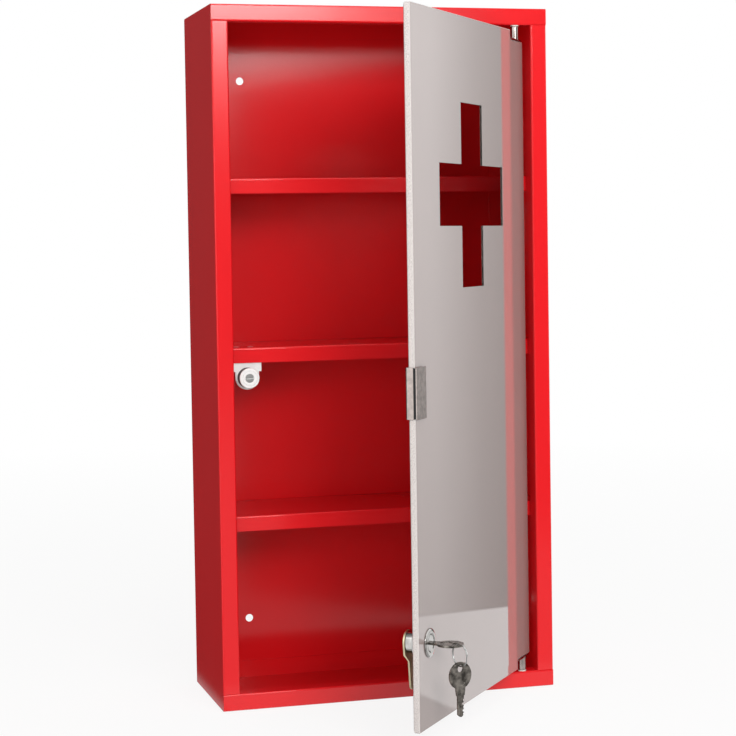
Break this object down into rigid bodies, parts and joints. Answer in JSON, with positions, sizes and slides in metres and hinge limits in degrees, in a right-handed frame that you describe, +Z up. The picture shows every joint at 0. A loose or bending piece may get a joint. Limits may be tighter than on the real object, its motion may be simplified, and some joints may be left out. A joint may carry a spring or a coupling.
{
  "type": "lockable medicine cabinet",
  "caption": "Wall-hung sheet steel cabinet with shelves behind a notched frosted glass door on pivot hinges, with a magnetic catch and a cam lock.",
  "frame": {"origin": "centre of the four wall holes, on the back of the cabinet", "axes": "+X to the right seen from the front, +Y into the wall, +Z up; the door faces -Y and is hinged on +X"},
  "size_m": [0.3, 0.3278, 0.6],
  "materials": {
    "red_paint": "glossy powder coat",
    "white_paint": "white coated, glossy",
    "glass": "clear tempered glass with polished edges",
    "frosted_film": "translucent satin film",
    "polished_steel": "polished",
    "chrome": "bright chrome plate",
    "zinc_steel": "zinc plated",
    "brass": "satin",
    "key_nickel": "dark nickel plated, worn",
    "rubber": "matt",
    "clear_pad": "clear acrylic pad",
    "nylon": "satin nylon"
  },
  "bodies": {
    "cabinet": {"left_side": "red_paint", "right_side": "red_paint", "top_panel": "red_paint", "bottom_panel": "red_paint", "back_panel": "red_paint", "shelf_lower": "red_paint", "shelf_middle": "red_paint", "shelf_upper": "red_paint", "hinge_bushes": "nylon", "catch_bracket": "white_paint", "catch_magnet": "white_paint", "catch_screw": "zinc_steel", "catch_nut": "zinc_steel", "bracket_screws": "zinc_steel"},
    "door": {"door_glass": "glass", "frosted_film": "frosted_film", "edge_clip": "polished_steel", "clip_liner": "rubber", "clip_screws": "zinc_steel", "upper_hinge_leaf": "polished_steel", "lower_hinge_leaf": "polished_steel", "hinge_pads": "clear_pad", "hinge_pins": "polished_steel", "lock_housing": "chrome", "lock_seal": "rubber", "lock_washer": "rubber", "lock_nut": "zinc_steel"},
    "plug": {"lock_plug": "chrome", "lock_wafers": "brass", "lock_cam": "zinc_steel", "cam_screw": "zinc_steel"},
    "key": {"key_in_lock": "key_nickel"},
    "ring": {"key_ring": "zinc_steel"},
    "spare": {"spare_key": "key_nickel"}
  },
  "joints": [
    {"name": "door_hinge", "type": "hinge", "parent": "cabinet", "child": "door", "pos_m": [0.122, -0.116, 0], "axis": [0, 0, 1], "range_deg": [-50.7, 94.3]},
    {"name": "lock_turn", "type": "hinge", "parent": "door", "child": "plug", "pos_m": [-0.02262, -0.29743, -0.2137], "axis": [-0.7738, 0.6334, 0], "range_deg": [0, 90]},
    {"name": "key_pull", "type": "slide", "parent": "plug", "child": "key", "axis": [0.7738, -0.6334, 0], "range_m": [0, 0.024]},
    {"name": "ring_swing", "type": "hinge", "parent": "key", "child": "ring", "pos_m": [-0.00519, -0.31877, -0.21198], "axis": [0.3272, -0.9449, 0], "range_deg": [-10, 60]},
    {"name": "spare_key_swing", "type": "hinge", "parent": "ring", "child": "spare", "pos_m": [-0.00519, -0.31877, -0.2307], "axis": [0.3272, -0.9449, 0], "range_deg": [-20, 45]}
  ]
}
